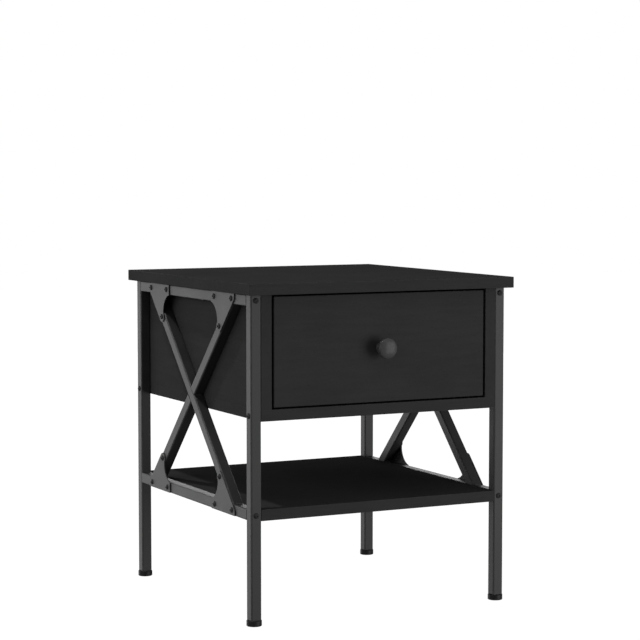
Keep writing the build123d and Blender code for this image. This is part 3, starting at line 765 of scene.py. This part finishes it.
# ---------------------------------------------------------------- dowels and pegs
# Fluted beech dowels join the cabinet's boards, and thinner pegs the drawer's. They are glued in
# and don't show.
beech_values = {"Deep": (0.45, 0.30, 0.17, 1.0), "Pale": (0.62, 0.44, 0.27, 1.0)}
beech_relief = 0.00006
beech = finish_with("beech", pressed_fibre_effect, beech_values, specular=0.3, bump=beech_relief)
dress("cabinet_dowels", beech)
dress("drawer_pegs", beech)

# ---------------------------------------------------------------- studio
# A pale floor, six soft boxes and a white sweep. The main box stands to the right of the front,
# and wide ones light the left side and the back. The top takes most of its light from a small
# bright one above it, and only a little from the wide one overhead.
scene = bpy.context.scene
scene.view_settings.view_transform = "Standard"
scene.view_settings.look = "None"

floor_size = 14.0
floor_mesh = bpy.data.meshes.new("studio_floor")
corner = floor_size / 2
floor_corners = [(x * corner, y * corner, 0) for x, y in ((-1, -1), (1, -1), (1, 1), (-1, 1))]
floor_mesh.from_pydata(floor_corners, [], [(0, 1, 2, 3)])
floor = bpy.data.objects.new("studio_floor", floor_mesh)
scene.collection.objects.link(floor)
floor_paint, tree, shader, relief = surface(
    "studio_floor_paint", specular=0.1, bump=0.0002, bump_strength=0.1
)
place = add(tree, "TexCoord").outputs["Object"]
tree.links.new(noise(tree, place, 300, 3), relief.inputs["Height"])
shader.inputs["Roughness"].default_value = 0.9
shader.inputs["Base Color"].default_value = grey(0.5)
floor_glow, glow_share = 1.1, 0.9
glow = add(tree, "Emission", {"Color": grey(1.0), "Strength": floor_glow})
light_path = add(tree, "LightPath")
output = tree.nodes["Material Output"]
seen_glow = calc(tree, "MULTIPLY", light_path.outputs["Is Camera Ray"], glow_share)
floor_mix = add(tree, "MixShader", {0: seen_glow})
tree.links.new(shader.outputs[0], floor_mix.inputs[1])
tree.links.new(glow.outputs[0], floor_mix.inputs[2])
tree.links.new(floor_mix.outputs[0], output.inputs["Surface"])
floor_mesh.materials.append(floor_paint)
floor.visible_shadow = False
floor.visible_diffuse = False
floor.visible_glossy = False

world = bpy.data.worlds.new("studio_sweep")
scene.world = world
world.use_nodes = True
tree = world.node_tree
tree.nodes.clear()
seen = add(tree, "Background", {"Color": grey(1.0), "Strength": 1.0})
lighting = add(tree, "Background", {"Color": grey(1.0), "Strength": 0.35})
light_path = add(tree, "LightPath")
sweep = add(tree, "MixShader", {0: light_path.outputs["Is Camera Ray"]})
tree.links.new(lighting.outputs[0], sweep.inputs[1])
tree.links.new(seen.outputs[0], sweep.inputs[2])
output = add(tree, "OutputWorld")
tree.links.new(sweep.outputs[0], output.inputs["Surface"])


def soft_box(name, place, target, width, height, brightness):
    """A flat soft light at a place, facing a target, of this brightness all over its face."""
    light = bpy.data.lights.new(name, "AREA")
    light.shape = "RECTANGLE"
    light.size = width
    light.size_y = height
    light.energy = brightness * math.pi * width * height
    box = bpy.data.objects.new(name, light)
    scene.collection.objects.link(box)
    way = Vector(target) - Vector(place)
    box.location = place
    box.rotation_mode = "QUATERNION"
    box.rotation_quaternion = way.to_track_quat("-Z", "Y")
    box.visible_camera = False
    return box


soft_box("main_soft_box", (1.47, -2.33, 0.25), (0, -0.19, 0.36), 1.5, 1.5, 8.3)
soft_box("left_soft_box", (-2.65, -0.2, 1.0), (-0.2, 0.0, 0.3), 3.4, 2.0, 1.9)
soft_box("back_left_soft_box", (-1.70, 3.25, 0.15), (0.0, 0.0, 0.3), 2.8, 2.4, 2.6)
soft_box("overhead_soft_box", (0.1, 0.0, 2.6), (0, 0, 0.4), 2.6, 2.6, 0.12)
soft_box("rim_light", (-0.85, -0.1, 2.4), (0, -0.2, 0.36), 0.12, 0.12, 560.0)
soft_box("back_right_soft_box", (1.70, 3.25, 0.75), (0, 0.2, 0.35), 2.4, 1.5, 4.0)

camera_data = bpy.data.cameras.new("camera")
camera_data.sensor_width = 36.0
camera_data.lens = 116.52
camera_data.clip_start = 0.05
camera_data.clip_end = 50.0
camera = bpy.data.objects.new("camera", camera_data)
scene.collection.objects.link(camera)
camera.location = (-1.3216, -2.6131, 0.6011)
camera_turn = math.radians(26.93)
camera_tilt = math.radians(4.247)
camera.rotation_euler = (math.pi / 2 - camera_tilt, 0, -camera_turn)
scene.camera = camera
